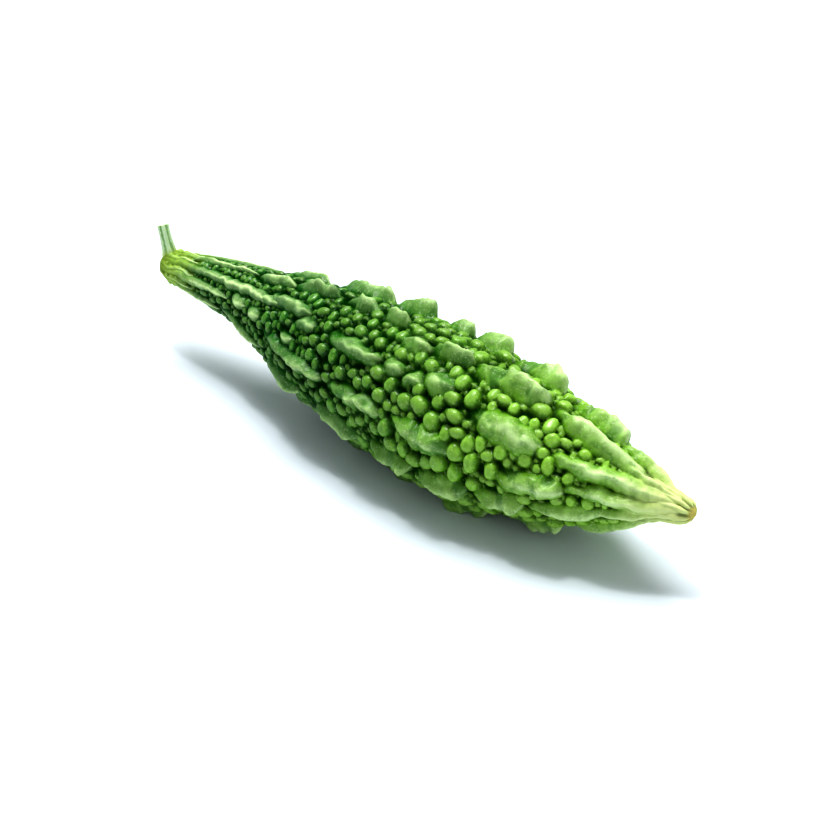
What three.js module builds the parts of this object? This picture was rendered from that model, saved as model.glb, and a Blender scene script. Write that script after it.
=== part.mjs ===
// A bitter gourd, lying on its side: one warty, ridged fruit and the short stalk that it was cut with.
// Millimetres. +X runs from the stalk to the blossom tip, +Z is up, and the fruit rests on Z = 0.
//
// A place on the rind is its station, the X along the fruit, and its angle round the fruit in degrees,
// from 0 at the top through 90 on the -Y side. What stands out of the rind is relief, a height over the
// valleys: long crests in nine rows, and round pearls packed between them.
import * as THREE from "three";
import { ConvexHull } from "three/addons/math/ConvexHull.js";

const SEED = 20417;

// Fruit
const FRUIT_LENGTH = 215;
const STEM_END = -FRUIT_LENGTH / 2;
const TIP_END = FRUIT_LENGTH / 2;
const STEM_CAP = 5; // length over which the stem end rounds off
const TIP_CAP = 3.2; // length over which the blossom tip rounds off
// Radius at the bottom of the valleys, [station, radius]
const VALLEY_RADIUS = [
  [-107.5, 4.7], [-97, 5.4], [-82, 6.9], [-67, 9.1], [-52, 12.3], [-37, 15.4], [-20, 18.1], [0, 20.2],
  [22, 21], [42, 19.8], [58, 17.2], [72, 13.4], [86, 8.6], [96, 5], [103, 3.1], [107.5, 2.3],
];
// Where the fruit's middle line runs, [station, Y] and [station, Z]: it bends a little, like an S
const MIDLINE_Y = [[-107.5, 2.2], [-70, 2.9], [-35, 0.2], [20, -3], [70, -3.6], [107.5, -1]];
const MIDLINE_Z = [[-107.5, 27.3], [-70, 27.5], [-35, 25.9], [20, 23.3], [70, 22.7], [107.5, 23.5]];

// Crests: long knobs in rows, each steeper towards the tip. A row has its angle, how far it weaves to
// either side, and its crests as [start station, end station, height, half width, angle off the row]
const ROW_WEAVE = 2.2;
const WEAVE_LENGTH = 70;
const CREST_ROWS = [
  {
    angle: 6,
    crests: [
      [-105, -60, 1.9, 1.7, 0], [-63, -42, 2.9, 2.8, 0], [-44, -23, 5, 4, -4], [-21, -6, 4.8, 4.2, -3],
      [-6, 6, 5.2, 4.2, -6], [8, 20, 4.2, 4, 9], [18, 34, 6.6, 4.6, 2], [33, 60, 6.8, 5.6, 1],
      [61, 94, 4.8, 4, 0], [84, 105, 2.4, 2.2, 9], [92, 106.8, 1.3, 1.3, -11],
    ],
  },
  {
    angle: 42,
    crests: [
      [-106, -38, 2.5, 2.1, -1], [-50, -26, 3.4, 3, -7], [-33, -22, 2.8, 3, 3], [-17, 8, 4.4, 3.8, -1],
      [8, 17, 3.6, 3.6, -1], [16, 24, 3.6, 4, 2], [23, 35, 4.6, 4.6, -4], [41, 66, 5, 5, 4],
      [67, 104, 4.2, 3.2, 5], [88, 106.8, 1.4, 1.3, -10],
    ],
  },
  {
    angle: 78,
    crests: [
      [-105, -67, 2, 1.7, -4], [-67, -57, 2.8, 3.2, -10], [-56, -48, 2.8, 2.8, -10],
      [-38, -29, 2.8, 2.4, -14], [-47, -12, 4.6, 3.4, 1], [-11, 14, 5, 4.2, 2], [16, 41, 5.6, 4.6, 1],
      [54, 75, 5, 4.4, 7], [73, 105, 3.8, 3, 2], [86, 106.8, 1.5, 1.4, 19],
    ],
  },
  {
    angle: 114,
    crests: [
      [-105, -73, 1.9, 1.6, 2], [-75, -48, 2.6, 2.3, -8], [-47, -24, 4.4, 3.6, 0], [-22, 5, 5, 4.2, 0],
      [7, 26, 5.2, 4.4, -5], [25, 46, 6, 5, 0], [46, 64, 5.6, 4.8, 0], [63, 88, 4.2, 3.6, 0],
      [77, 106.5, 2.6, 2.3, -5],
    ],
  },
  // The next two are the rows that the fruit lies on
  {
    angle: 156,
    crests: [
      [-105, -66, 1.9, 1.6, 0], [-68, -46, 3, 3, 2], [-47, -25, 4.4, 3.8, 0], [-25, -4, 6.6, 5, 6],
      [-3, 19, 6, 5, 2], [20, 46, 6, 5.2, 2], [47, 70, 5, 4.6, 0], [70, 98, 3.6, 3.2, 0],
      [87, 106.8, 1.4, 1.4, 14],
    ],
  },
  {
    angle: 199,
    crests: [
      [-105, -58, 1.9, 1.6, 0], [-59, -39, 3.6, 3.2, -2], [-38, -15, 5, 4.2, 0], [-14, 8, 5.6, 4.8, 0],
      [9, 33, 5, 5, 0], [34, 58, 5.8, 5, 0], [59, 90, 4.4, 3.8, 0], [78, 106.5, 2.4, 2.2, 5],
    ],
  },
  {
    angle: 243,
    crests: [
      [-105, -70, 1.9, 1.6, 0], [-71, -51, 2.8, 2.8, 0], [-52, -30, 4.4, 3.6, 2], [-29, -8, 5.2, 4.2, -1],
      [-7, 12, 5.4, 4.4, 2], [13, 38, 6.2, 5, 0], [39, 60, 6, 4.8, 0], [61, 92, 4.6, 3.8, 0],
      [80, 106.5, 2.4, 2.1, -6],
    ],
  },
  {
    angle: 286,
    crests: [
      [-105, -62, 1.9, 1.6, 0], [-63, -44, 3.4, 3, 0], [-43, -20, 5, 4, 0], [-19, 2, 5.6, 4.4, 3],
      [3, 27, 6, 4.8, 0], [28, 47, 6, 4.8, -2], [48, 72, 5.6, 4.8, 0], [72, 101, 4, 3.2, 0],
      [86, 106.8, 1.5, 1.4, -17],
    ],
  },
  {
    angle: 330,
    crests: [
      [-105, -56, 1.9, 1.7, 0], [-58, -36, 3.6, 3, 2], [-36, -9, 6.2, 4.8, 0], [-9, 7, 7.2, 5, 2],
      [9, 20, 5.4, 4.2, -3], [20, 36, 6.8, 5, 3], [37, 57, 7, 5.2, 1], [61, 81, 6, 5, 1],
      [79, 103, 3.6, 3.1, 4], [90, 106.8, 1.4, 1.4, -15],
    ],
  },
];
const CREST_RISE = 2.2; // power of the slope up to a crest's highest point
// Where along a crest that point is, and the power of the slope down from it
const CREST_FALL = { peak: 0.76, power: 3 };
const KEEL_FALL = { peak: 0.4, power: 1.6 }; // of the long ones that run out towards the tip
const KEELS_FROM = 84; // a crest that ends past this station is such a one
const CREST_TAPER = 0.35; // power that draws its outline in towards both ends
const CREST_DOME = 1.6; // power of its rounding, across

// Pearls: round warts that fill the space between the crests. [station, radius of a full-grown one]
const PEARL_RADIUS = [
  [-107.5, 0.9], [-90, 1.2], [-70, 1.45], [-45, 1.75], [-20, 2.1], [10, 2.5], [40, 2.8], [62, 2.6],
  [80, 1.9], [95, 1.1], [107.5, 0.6],
];
const PEARL_TRIES = 9000;
const PEARL_EVENNESS = 0.72; // share of full size that the least of the early ones reach
const PEARL_LEAST = 0.45; // share of full size that the last ones to find a gap still reach
const PEARL_HEIGHT = 1.08; // times the pearl's radius
const PEARL_END_ROOM = 6; // length kept free of pearls at each end of the fruit
const PEARL_FOOTING = 0.62; // share of a crest's half width that the pearls keep off

// The mesh has its points where the relief turns: on the pearls, along the crests, and in the valleys
const SMALLEST_MESHED_PEARL = 1.25; // radius below which a pearl is too fine for this solid
const PEARL_SHOULDER = { share: 0.58, points: 5 }; // ring of points round each pearl's top
const CREST_LINES = [-0.92, -0.5, 0, 0.5, 0.92]; // across a crest, as shares of its half width
const CREST_POINT_STEP = 4.4;
const VALLEY_POINT_STEP = 2.7;
const VALLEY_TRIES = 12000;
const END_RINGS = [0, 0.45, 0.78, 0.95]; // how far into the rounded ends the rings of points stand
const END_RING_POINTS = 10;
const STEEPEST_LEAN = 0.5; // slope of the rind beyond which the relief leans no further

// Stalk: a ribbed stem, cut square, that stands on a small flat at the upper side of the stem end
const STALK_SEAT = new THREE.Vector3(-104.4, 2.2, 31);
const STALK_OUT = new THREE.Vector3(-0.3, 0, 1).normalize();
const STALK_BEND = new THREE.Vector3(-0.9, -0.3, 4.4);
const STALK_END = new THREE.Vector3(-2.9, 0.2, 9.2);
const STALK_GAP = 0.3;
const STALK_RADIUS = 1.7;
const STALK_FLARE = { radius: 0.8, power: 4 }; // how much wider it is at its root
const STALK_RIBS = 5;
const STALK_RIB_DEPTH = 0.26;
const STALK_STEPS = 12;
const STALK_SIDES = 20;
const SEAT_REACH = 7; // how far from the stem end the flat reaches

const RIND = new THREE.MeshStandardMaterial({ color: 0x5c9a36, roughness: 0.42, metalness: 0 });
const STALK = new THREE.MeshStandardMaterial({ color: 0xa9cf8e, roughness: 0.6, metalness: 0 });
const DEGREES = Math.PI / 180;

// A repeatable draw from 0 to 1
function dice(seed) {
  let state = seed;
  return () => {
    state = (Math.imul(state, 1664525) + 1013904223) >>> 0;
    return state / 2 ** 32;
  };
}

// A smooth curve through [place, value] points
function through(points, at) {
  const last = points.length - 1;
  if (at <= points[0][0]) return points[0][1];
  if (at >= points[last][0]) return points[last][1];
  const i = points.findIndex(([place]) => place > at) - 1;
  const slope = (a, b) => (points[b][1] - points[a][1]) / (points[b][0] - points[a][0]);
  const step = points[i + 1][0] - points[i][0];
  const slopeIn = slope(Math.max(i - 1, 0), i + 1);
  const slopeOut = slope(i, Math.min(i + 2, last));
  const t = (at - points[i][0]) / step;
  return (
    points[i][1] * (1 + 2 * t) * (1 - t) ** 2 +
    points[i + 1][1] * t * t * (3 - 2 * t) +
    step * t * (1 - t) * (slopeIn * (1 - t) - slopeOut * t)
  );
}

// The shortest way round from one angle to another, in radians
function turn(from, to) {
  return (THREE.MathUtils.euclideanModulo(to - from + 180, 360) - 180) * DEGREES;
}

// How far into one of its rounded ends the fruit is at a station: 0 on the body, 1 at the very end
function intoEnd(station) {
  return Math.max((STEM_END + STEM_CAP - station) / STEM_CAP, (station - TIP_END + TIP_CAP) / TIP_CAP, 0);
}

function valleyRadius(station) {
  return through(VALLEY_RADIUS, station) * Math.sqrt(Math.max(1 - intoEnd(station) ** 2, 0));
}

// The way over the rind from the stem end to each station, in units of the radius there. With the angle in
// radians beside it, it makes a map of the rind on which every small circle is still a circle.
function chartStretch() {
  const capShares = Array.from({ length: 60 }, (_, i) => 1 - Math.sin((Math.PI / 2) * (1 - (i + 1) / 61)));
  const stations = capShares.map((share) => STEM_END + STEM_CAP * share);
  for (let x = STEM_END + STEM_CAP; x < TIP_END - TIP_CAP; x += 0.5) stations.push(x);
  stations.push(...capShares.map((share) => TIP_END - TIP_CAP * share).reverse());
  const chart = [[stations[0], 0]];
  for (let i = 1; i < stations.length; i += 1) {
    const [before, here] = [stations[i - 1], stations[i]];
    const [radiusBefore, radiusHere] = [valleyRadius(before), valleyRadius(here)];
    const length = Math.hypot(here - before, radiusHere - radiusBefore);
    chart.push([here, chart[i - 1][1] + (2 * length) / (radiusBefore + radiusHere)]);
  }
  return chart;
}
const CHART = chartStretch();
const CHART_MIDDLE = CHART[CHART.length - 1][1] / 2;

function stretch(station) {
  const i = Math.max(CHART.findIndex(([place]) => place >= station), 1);
  const [[x0, u0], [x1, u1]] = [CHART[i - 1], CHART[i]];
  return u0 + ((u1 - u0) * (station - x0)) / (x1 - x0);
}

// Distance between two places on that map
function mapDistance(a, b) {
  return Math.hypot(a.stretch - b.stretch, turn(a.angle, b.angle));
}

function layCrests() {
  return CREST_ROWS.flatMap((row, index) =>
    row.crests.map(([start, end, height, halfWidth, off]) => ({
      start, end, height, halfWidth,
      angleAt: (station) =>
        row.angle + off + ROW_WEAVE * Math.sin((2 * Math.PI * station) / WEAVE_LENGTH + 1.9 * index),
    })),
  );
}

// Half the width of a crest at a share of its length
function crestReach(crest, along) {
  return crest.halfWidth * (4 * along * (1 - along)) ** CREST_TAPER;
}

// How far across a crest a place is: 0 on its top line, 1 at its foot, and more beyond
function acrossCrest(crest, place) {
  const along = (place.station - crest.start) / (crest.end - crest.start);
  if (along <= 0 || along >= 1) return Infinity;
  const gap = Math.abs(turn(crest.angleAt(place.station), place.angle)) * valleyRadius(place.station);
  return gap / crestReach(crest, along);
}

function crestRelief(crest, place) {
  const across = acrossCrest(crest, place);
  if (across >= 1) return 0;
  const along = (place.station - crest.start) / (crest.end - crest.start);
  const { peak, power } = crest.end > KEELS_FROM ? KEEL_FALL : CREST_FALL;
  const rise = 1 - Math.max(1 - along / peak, 0) ** CREST_RISE;
  const fall = 1 - Math.max((along - peak) / (1 - peak), 0) ** power;
  return crest.height * rise * fall * (1 - across ** CREST_DOME);
}

function highestCrest(crests, place) {
  return Math.max(0, ...crests.map((crest) => crestRelief(crest, place)));
}

// Pearls settle at random places, the big ones first, and each grows until it touches a neighbour
function layPearls(crests, draw) {
  const pearls = [];
  for (let i = 0; i < PEARL_TRIES; i += 1) {
    const station = STEM_END + PEARL_END_ROOM + (FRUIT_LENGTH - 2 * PEARL_END_ROOM) * draw();
    const place = { station, angle: 360 * draw(), stretch: stretch(station) };
    const full = through(PEARL_RADIUS, station) * (PEARL_EVENNESS + (1 - PEARL_EVENNESS) * draw());
    const least = full * Math.max(0.92 - i / PEARL_TRIES, PEARL_LEAST);
    const rindRadius = valleyRadius(station);
    let radius = full;
    for (const pearl of pearls) {
      radius = Math.min(radius, (mapDistance(pearl, place) - pearl.mapRadius) * rindRadius);
      if (radius < least) break;
    }
    if (radius < least) continue;
    for (const crest of crests) {
      radius = Math.min(radius, (acrossCrest(crest, place) - PEARL_FOOTING) * crest.halfWidth);
    }
    if (radius >= least) pearls.push({ ...place, radius, mapRadius: radius / rindRadius });
  }
  return pearls;
}

// The point in space that stands over a place by its relief
function overRind({ station, angle, relief }) {
  const slope = valleyRadius(station + 0.5) - valleyRadius(station - 0.5);
  const lean = Math.atan(THREE.MathUtils.clamp(slope, -STEEPEST_LEAN, STEEPEST_LEAN));
  const out = valleyRadius(station) + relief * Math.cos(lean);
  return new THREE.Vector3(
    station - relief * Math.sin(lean),
    through(MIDLINE_Y, station) - out * Math.sin(angle * DEGREES),
    through(MIDLINE_Z, station) + out * Math.cos(angle * DEGREES),
  );
}

// Rings of mesh points on the rounded ends, and one at each very end
function endPoints() {
  const points = [];
  for (const [end, cap] of [[STEM_END, STEM_CAP], [TIP_END, -TIP_CAP]]) {
    points.push({ station: end, angle: 0, relief: 0 });
    for (const into of END_RINGS) {
      for (let i = 0; i < END_RING_POINTS; i += 1) {
        points.push({ station: end + cap * (1 - into), angle: (360 * (i + into)) / END_RING_POINTS, relief: 0 });
      }
    }
  }
  return points;
}

function crestPoints(crests) {
  const points = [];
  for (const crest of crests) {
    const steps = Math.round((crest.end - crest.start) / CREST_POINT_STEP) + 1;
    for (let i = 1; i < steps; i += 1) {
      const station = crest.start + ((crest.end - crest.start) * i) / steps;
      if (station < STEM_END + STEM_CAP || station > TIP_END - TIP_CAP) continue;
      const reach = crestReach(crest, i / steps);
      for (const line of CREST_LINES) {
        const angle = crest.angleAt(station) + (line * reach) / valleyRadius(station) / DEGREES;
        const relief = crestRelief(crest, { station, angle });
        // Where two crests overlap, only the upper one has points
        if (highestCrest(crests, { station, angle }) <= relief + 0.05) points.push({ station, angle, relief });
      }
    }
  }
  return points;
}

function pearlPoints(crests, pearls) {
  const points = [];
  const { share, points: count } = PEARL_SHOULDER;
  for (const pearl of pearls.filter(({ radius }) => radius >= SMALLEST_MESHED_PEARL)) {
    const add = (station, angle, height) => {
      const relief = Math.max(height, highestCrest(crests, { station, angle }));
      points.push({ station, angle, relief });
    };
    const top = PEARL_HEIGHT * pearl.radius;
    const out = pearl.radius * Math.sin((share * Math.PI) / 2);
    add(pearl.station, pearl.angle, top);
    for (let i = 0; i < count; i += 1) {
      const way = (2 * Math.PI * i) / count + pearl.stretch;
      const sideways = (out * Math.sin(way)) / valleyRadius(pearl.station) / DEGREES;
      add(pearl.station + out * Math.cos(way), pearl.angle + sideways, top * Math.cos((share * Math.PI) / 2));
    }
  }
  return points;
}

// Points scattered over the rest of the rind
function valleyPoints(crests, others, draw) {
  const points = [];
  const placed = others.map((point) => ({ ...point, stretch: stretch(point.station) }));
  for (let i = 0; i < VALLEY_TRIES; i += 1) {
    const station = STEM_END + STEM_CAP + (FRUIT_LENGTH - STEM_CAP - TIP_CAP) * draw();
    const place = { station, angle: 360 * draw(), stretch: stretch(station) };
    const radius = valleyRadius(station);
    const step = (VALLEY_POINT_STEP * Math.min(0.5 + radius / 30, 1)) / radius;
    if (placed.some((other) => mapDistance(other, place) < step * 0.5)) continue;
    if (points.some((other) => mapDistance(other, place) < step)) continue;
    points.push({ ...place, relief: highestCrest(crests, place) });
  }
  return points;
}

// Which points neighbour each other, as the corners of triangles: those of the hull that the same points
// have once the map of the rind is wrapped round a ball
function neighbours(points) {
  const indexOf = new Map();
  const ball = points.map(({ station, angle }, index) => {
    const veryEnd = intoEnd(station) >= 1;
    const away = veryEnd ? Math.sign(station) * 40 : stretch(station) - CHART_MIDDLE;
    const side = 1 / Math.cosh(away);
    const point = new THREE.Vector3(
      Math.tanh(away), -side * Math.sin(angle * DEGREES), side * Math.cos(angle * DEGREES),
    );
    indexOf.set(point, index);
    return point;
  });
  return new ConvexHull().setFromPoints(ball).faces.flatMap(({ edge }) =>
    [edge, edge.next, edge.prev].map((corner) => indexOf.get(corner.head().point)),
  );
}

// A rind point as it ends up: trimmed to the stalk's seat, and flat where the fruit lies on the ground
function settle(point) {
  const overSeat = point.clone().sub(STALK_SEAT).dot(STALK_OUT);
  if (overSeat > 0 && point.x < STEM_END + SEAT_REACH) point.addScaledVector(STALK_OUT, -overSeat);
  point.z = Math.max(point.z, 0);
  return point;
}

function solid(name, points, corners, material) {
  const geometry = new THREE.BufferGeometry().setFromPoints(points);
  geometry.setIndex(corners);
  geometry.computeVertexNormals();
  const mesh = new THREE.Mesh(geometry, material);
  mesh.name = name;
  return mesh;
}

function fruit() {
  const draw = dice(SEED);
  const crests = layCrests();
  const pearls = layPearls(crests, draw);
  const raised = [...endPoints(), ...crestPoints(crests), ...pearlPoints(crests, pearls)];
  const points = [...raised, ...valleyPoints(crests, raised, draw)];
  return solid("fruit", points.map((point) => settle(overRind(point))), neighbours(points), RIND);
}

// The stalk's rings of points, from its root to the cut
function stalk() {
  const foot = STALK_SEAT.clone().addScaledVector(STALK_OUT, STALK_GAP);
  const line = new THREE.QuadraticBezierCurve3(
    foot, foot.clone().add(STALK_BEND), foot.clone().add(STALK_END),
  );
  const frames = line.computeFrenetFrames(STALK_STEPS);
  const points = [];
  const corners = [];
  for (let i = 0; i <= STALK_STEPS; i += 1) {
    const share = i / STALK_STEPS;
    const middle = line.getPointAt(share);
    const flare = STALK_FLARE.radius * (1 - share) ** STALK_FLARE.power;
    for (let j = 0; j < STALK_SIDES; j += 1) {
      const way = (2 * Math.PI * j) / STALK_SIDES;
      const radius = STALK_RADIUS + flare + STALK_RIB_DEPTH * Math.cos(STALK_RIBS * way);
      points.push(
        middle.clone()
          .addScaledVector(frames.normals[i], radius * Math.cos(way))
          .addScaledVector(frames.binormals[i], radius * Math.sin(way)),
      );
      if (i === STALK_STEPS) continue;
      const [here, beside] = [i * STALK_SIDES + j, i * STALK_SIDES + ((j + 1) % STALK_SIDES)];
      corners.push(here, beside, beside + STALK_SIDES, here, beside + STALK_SIDES, here + STALK_SIDES);
    }
  }
  const [rootMiddle, cutMiddle] = [points.length, points.length + 1];
  points.push(line.getPointAt(0), line.getPointAt(1));
  const cut = STALK_STEPS * STALK_SIDES;
  for (let j = 0; j < STALK_SIDES; j += 1) {
    const beside = (j + 1) % STALK_SIDES;
    corners.push(rootMiddle, beside, j, cutMiddle, cut + j, cut + beside);
  }
  return solid("stalk", points, corners, STALK);
}

// The origin is on the ground under the middle of the gourd's outer box
const gourd = new THREE.Group();
gourd.add(fruit(), stalk());
const box = new THREE.Box3().setFromObject(gourd);
const middle = box.getCenter(new THREE.Vector3());
gourd.position.set(-middle.x, -middle.y, -box.min.z);
export default gourd;
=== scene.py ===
"""A bitter gourd lying on a pale floor: one warty, ridged fruit with its cut stalk.

The fruit is a smooth spindle whose relief a Geometry Nodes tree raises: long crests in nine rows,
and pearls packed between them. Both stand where the part's own solid has them, because the same
tables and the same seeded draw place them. Sizes are in millimetres until a mesh is made.
"""

import logging
import math
from dataclasses import dataclass, field
from enum import Enum
from typing import Callable, Iterator, Sequence, Union

import bpy
import numpy as np
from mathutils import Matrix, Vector

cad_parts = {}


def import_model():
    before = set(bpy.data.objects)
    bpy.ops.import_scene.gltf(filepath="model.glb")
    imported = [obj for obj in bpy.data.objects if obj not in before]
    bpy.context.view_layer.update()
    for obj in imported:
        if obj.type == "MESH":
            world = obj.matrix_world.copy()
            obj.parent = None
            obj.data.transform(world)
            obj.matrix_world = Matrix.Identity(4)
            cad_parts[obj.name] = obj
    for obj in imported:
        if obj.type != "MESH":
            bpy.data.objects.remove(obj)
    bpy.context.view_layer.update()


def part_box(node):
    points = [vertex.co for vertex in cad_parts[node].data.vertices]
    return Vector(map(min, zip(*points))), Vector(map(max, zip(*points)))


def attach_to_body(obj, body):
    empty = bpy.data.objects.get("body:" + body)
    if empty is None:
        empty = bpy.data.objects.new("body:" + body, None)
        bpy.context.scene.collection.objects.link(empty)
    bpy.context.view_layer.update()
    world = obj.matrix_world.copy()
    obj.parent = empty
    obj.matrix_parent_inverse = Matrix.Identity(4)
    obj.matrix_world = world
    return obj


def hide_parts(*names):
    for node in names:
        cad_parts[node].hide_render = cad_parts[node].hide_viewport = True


MM = 0.001
LOG = logging.getLogger("gourd")
Points = Sequence[tuple[float, float]]
Value = Union["Number", bpy.types.NodeSocket, float, int, tuple]


def srgb(code: str) -> tuple[float, float, float, float]:
    """The linear colour of a six-digit hex code.

    Args:
        code: The colour as a screen shows it, such as "5c9a36".

    Returns:
        Red, green, blue and an alpha of 1.
    """
    shown = [int(code[i:i + 2], 16) / 255 for i in (0, 2, 4)]
    linear = [v / 12.92 if v <= 0.04045 else ((v + 0.055) / 1.055) ** 2.4 for v in shown]
    return (*linear, 1.0)


def through(points: Points, at: np.ndarray) -> np.ndarray:
    """A smooth curve through (place, value) points.

    Args:
        points: The points, in order of place.
        at: Places to read the curve at. Beyond the ends, the value stays as it is there.

    Returns:
        The curve's value at each place.
    """
    x, y = np.array(points, float).T
    at = np.clip(np.asarray(at, float), x[0], x[-1])
    i = np.clip(np.searchsorted(x, at, side="right") - 1, 0, len(x) - 2)
    before, after = np.maximum(i - 1, 0), np.minimum(i + 2, len(x) - 1)
    step = x[i + 1] - x[i]
    slope_in = (y[i + 1] - y[before]) / (x[i + 1] - x[before])
    slope_out = (y[after] - y[i]) / (x[after] - x[i])
    t = (at - x[i]) / step
    return (
        y[i] * (1 + 2 * t) * (1 - t) ** 2
        + y[i + 1] * t * t * (3 - 2 * t)
        + step * t * (1 - t) * (slope_in * (1 - t) - slope_out * t)
    )


def cap_shares(rings: int) -> np.ndarray:
    """How far into a rounded end each of its rings is, closer together towards the end itself."""
    return 1 - np.sin(np.pi / 2 * (1 - np.arange(1, rings + 1) / (rings + 1)))


def dice(seed: int) -> Iterator[float]:
    """An endless repeatable draw of numbers from 0 to 1.

    Args:
        seed: Where the draw starts.

    Yields:
        The next number.
    """
    state = seed
    while True:
        state = (state * 1664525 + 1013904223) % 2 ** 32
        yield state / 2 ** 32


def operator(operation: str, reflected: bool = False) -> Callable[["Number", Value], "Number"]:
    """Makes the method that adds one Math node for a Python operator.

    Args:
        operation: What the node does.
        reflected: Whether the other number stands first.

    Returns:
        The method.
    """
    def method(self: "Number", other: Value) -> "Number":
        """The operation's result on this number and the other."""
        values = (other, self) if reflected else (self, other)
        return self.bench.maths(operation, *values)

    return method


@dataclass
class Number:
    """A number that a node tree works out, which takes part in Python expressions.

    A power is only taken of a number that isn't negative. at_least and at_most give the larger and
    the smaller of two numbers, and over gives 1 where this is greater than the other, or else 0.
    """

    bench: "Bench"
    socket: bpy.types.NodeSocket

    __add__, __radd__ = operator("ADD"), operator("ADD", reflected=True)
    __sub__, __rsub__ = operator("SUBTRACT"), operator("SUBTRACT", reflected=True)
    __mul__, __rmul__ = operator("MULTIPLY"), operator("MULTIPLY", reflected=True)
    __truediv__, __rtruediv__ = operator("DIVIDE"), operator("DIVIDE", reflected=True)
    __pow__ = operator("POWER")
    at_least, at_most, over = operator("MAXIMUM"), operator("MINIMUM"), operator("GREATER_THAN")

    def ramp(self, start: float, end: float) -> "Number":
        """A smooth step from 0 where this equals start to 1 where it equals end."""
        keys = {"Value": self, "From Min": start, "From Max": end}
        node = self.bench.node("ShaderNodeMapRange", keys, interpolation_type="SMOOTHSTEP")
        return Number(self.bench, node.outputs["Result"])


class Bench:
    """Adds nodes to one node tree."""

    def __init__(self, tree: bpy.types.NodeTree) -> None:
        """Takes the tree that the nodes go into."""
        self.tree = tree

    def node(self, kind: str, inputs: dict | None = None, **settings: object) -> bpy.types.Node:
        """Adds a node.

        Args:
            kind: The node's type.
            inputs: Its sockets' values or links, by name or number.
            **settings: Its other settings, which are set first.

        Returns:
            The node.
        """
        node = self.tree.nodes.new(kind)
        for name, setting in settings.items():
            setattr(node, name, setting)
        for name, value in (inputs or {}).items():
            socket = node.inputs[name]
            source = value.socket if isinstance(value, Number) else value
            if isinstance(source, bpy.types.NodeSocket):
                self.tree.links.new(source, socket)
            else:
                socket.default_value = source
        return node

    def maths(self, operation: str, *values: Value) -> Number:
        """A Math node's result.

        Args:
            operation: What the node does.
            *values: Its numbers, in order.

        Returns:
            The result.
        """
        node = self.node("ShaderNodeMath", dict(enumerate(values)), operation=operation)
        return Number(self, node.outputs[0])

    def vector(
        self, operation: str, *values: Value, scale: Value | None = None,
    ) -> bpy.types.NodeSocket:
        """A Vector Math node's vector.

        Args:
            operation: What the node does.
            *values: Its vectors, in order.
            scale: The number that SCALE takes.

        Returns:
            The result's socket.
        """
        inputs = dict(enumerate(values))
        if scale is not None:
            inputs["Scale"] = scale
        return self.node("ShaderNodeVectorMath", inputs, operation=operation).outputs["Vector"]

    def parts(self, vector: bpy.types.NodeSocket) -> tuple[Number, Number, Number]:
        """The X, Y and Z of a vector."""
        node = self.node("ShaderNodeSeparateXYZ", {0: vector})
        return tuple(Number(self, out) for out in node.outputs)

    def joined(self, x: Value, y: Value, z: Value) -> bpy.types.NodeSocket:
        """The vector with this X, Y and Z."""
        return self.node("ShaderNodeCombineXYZ", {0: x, 1: y, 2: z}).outputs[0]

    def noise(self, place: bpy.types.NodeSocket, grain: float, detail: float) -> bpy.types.Node:
        """A Noise Texture.

        Args:
            place: Where to read it, in metres.
            grain: The size of its blotches in millimetres.
            detail: How many finer layers it has.

        Returns:
            The node, whose first output is the number and second the colour.
        """
        inputs = {"Vector": place, "Scale": 1 / (grain * MM), "Detail": detail, "Roughness": 0.55}
        return self.node("ShaderNodeTexNoise", inputs)

    def blotches(self, place: bpy.types.NodeSocket, grain: float, detail: float = 1.0) -> Number:
        """A Noise Texture's number, from 0 to 1."""
        return Number(self, self.noise(place, grain, detail).outputs[0])

    def read(self, name: str) -> Number:
        """A named attribute of the mesh as a number, in a tree of either kind."""
        if self.tree.type == "GEOMETRY":
            node = self.node("GeometryNodeInputNamedAttribute", {"Name": name}, data_type="FLOAT")
            return Number(self, node.outputs["Attribute"])
        node = self.node("ShaderNodeAttribute", attribute_name=name, attribute_type="GEOMETRY")
        return Number(self, node.outputs["Fac"])

    def sample(
        self, source: bpy.types.NodeSocket, value: Value, index: Value, kind: str = "FLOAT",
    ) -> bpy.types.NodeSocket:
        """A value read at one point of another geometry."""
        inputs = {"Geometry": source, "Value": value, "Index": index}
        node = self.node("GeometryNodeSampleIndex", inputs, data_type=kind, domain="POINT")
        return node.outputs[0]

    def store(self, rind: bpy.types.NodeSocket, marks: dict[str, Value]) -> bpy.types.NodeSocket:
        """Stores numbers as named attributes of a geometry's points.

        Args:
            rind: The geometry.
            marks: The numbers by name, in the order in which they are stored.

        Returns:
            The geometry with the attributes.
        """
        for name, value in marks.items():
            inputs = {"Geometry": rind, "Name": name, "Value": value}
            kind = {"data_type": "FLOAT", "domain": "POINT"}
            rind = self.node("GeometryNodeStoreNamedAttribute", inputs, **kind).outputs["Geometry"]
        return rind

    def tint(
        self, share: Value, base: Value, over: Value, mode: str = "MIX",
    ) -> bpy.types.NodeSocket:
        """One colour laid over another.

        Args:
            share: How much of the upper colour shows.
            base: The lower colour.
            over: The upper colour.
            mode: How they mix.

        Returns:
            The mixed colour's socket.
        """
        inputs = {0: share, 6: base, 7: over}
        return self.node("ShaderNodeMix", inputs, data_type="RGBA", blend_type=mode).outputs[2]

    def surface(self, bump: dict[str, Value], finish: dict[str, Value]) -> None:
        """Ends a material in one shader with a bump.

        Args:
            bump: The Bump node's inputs.
            finish: The shader's other inputs.
        """
        normal = self.node("ShaderNodeBump", bump).outputs[0]
        shader = self.node("ShaderNodeBsdfPrincipled", {**finish, "Normal": normal})
        self.node("ShaderNodeOutputMaterial", {"Surface": shader.outputs[0]})


def placed(name: str, data: bpy.types.ID) -> bpy.types.Object:
    """Puts a new object that holds the data into the scene."""
    thing = bpy.data.objects.new(name, data)
    bpy.context.collection.objects.link(thing)
    return thing


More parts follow.
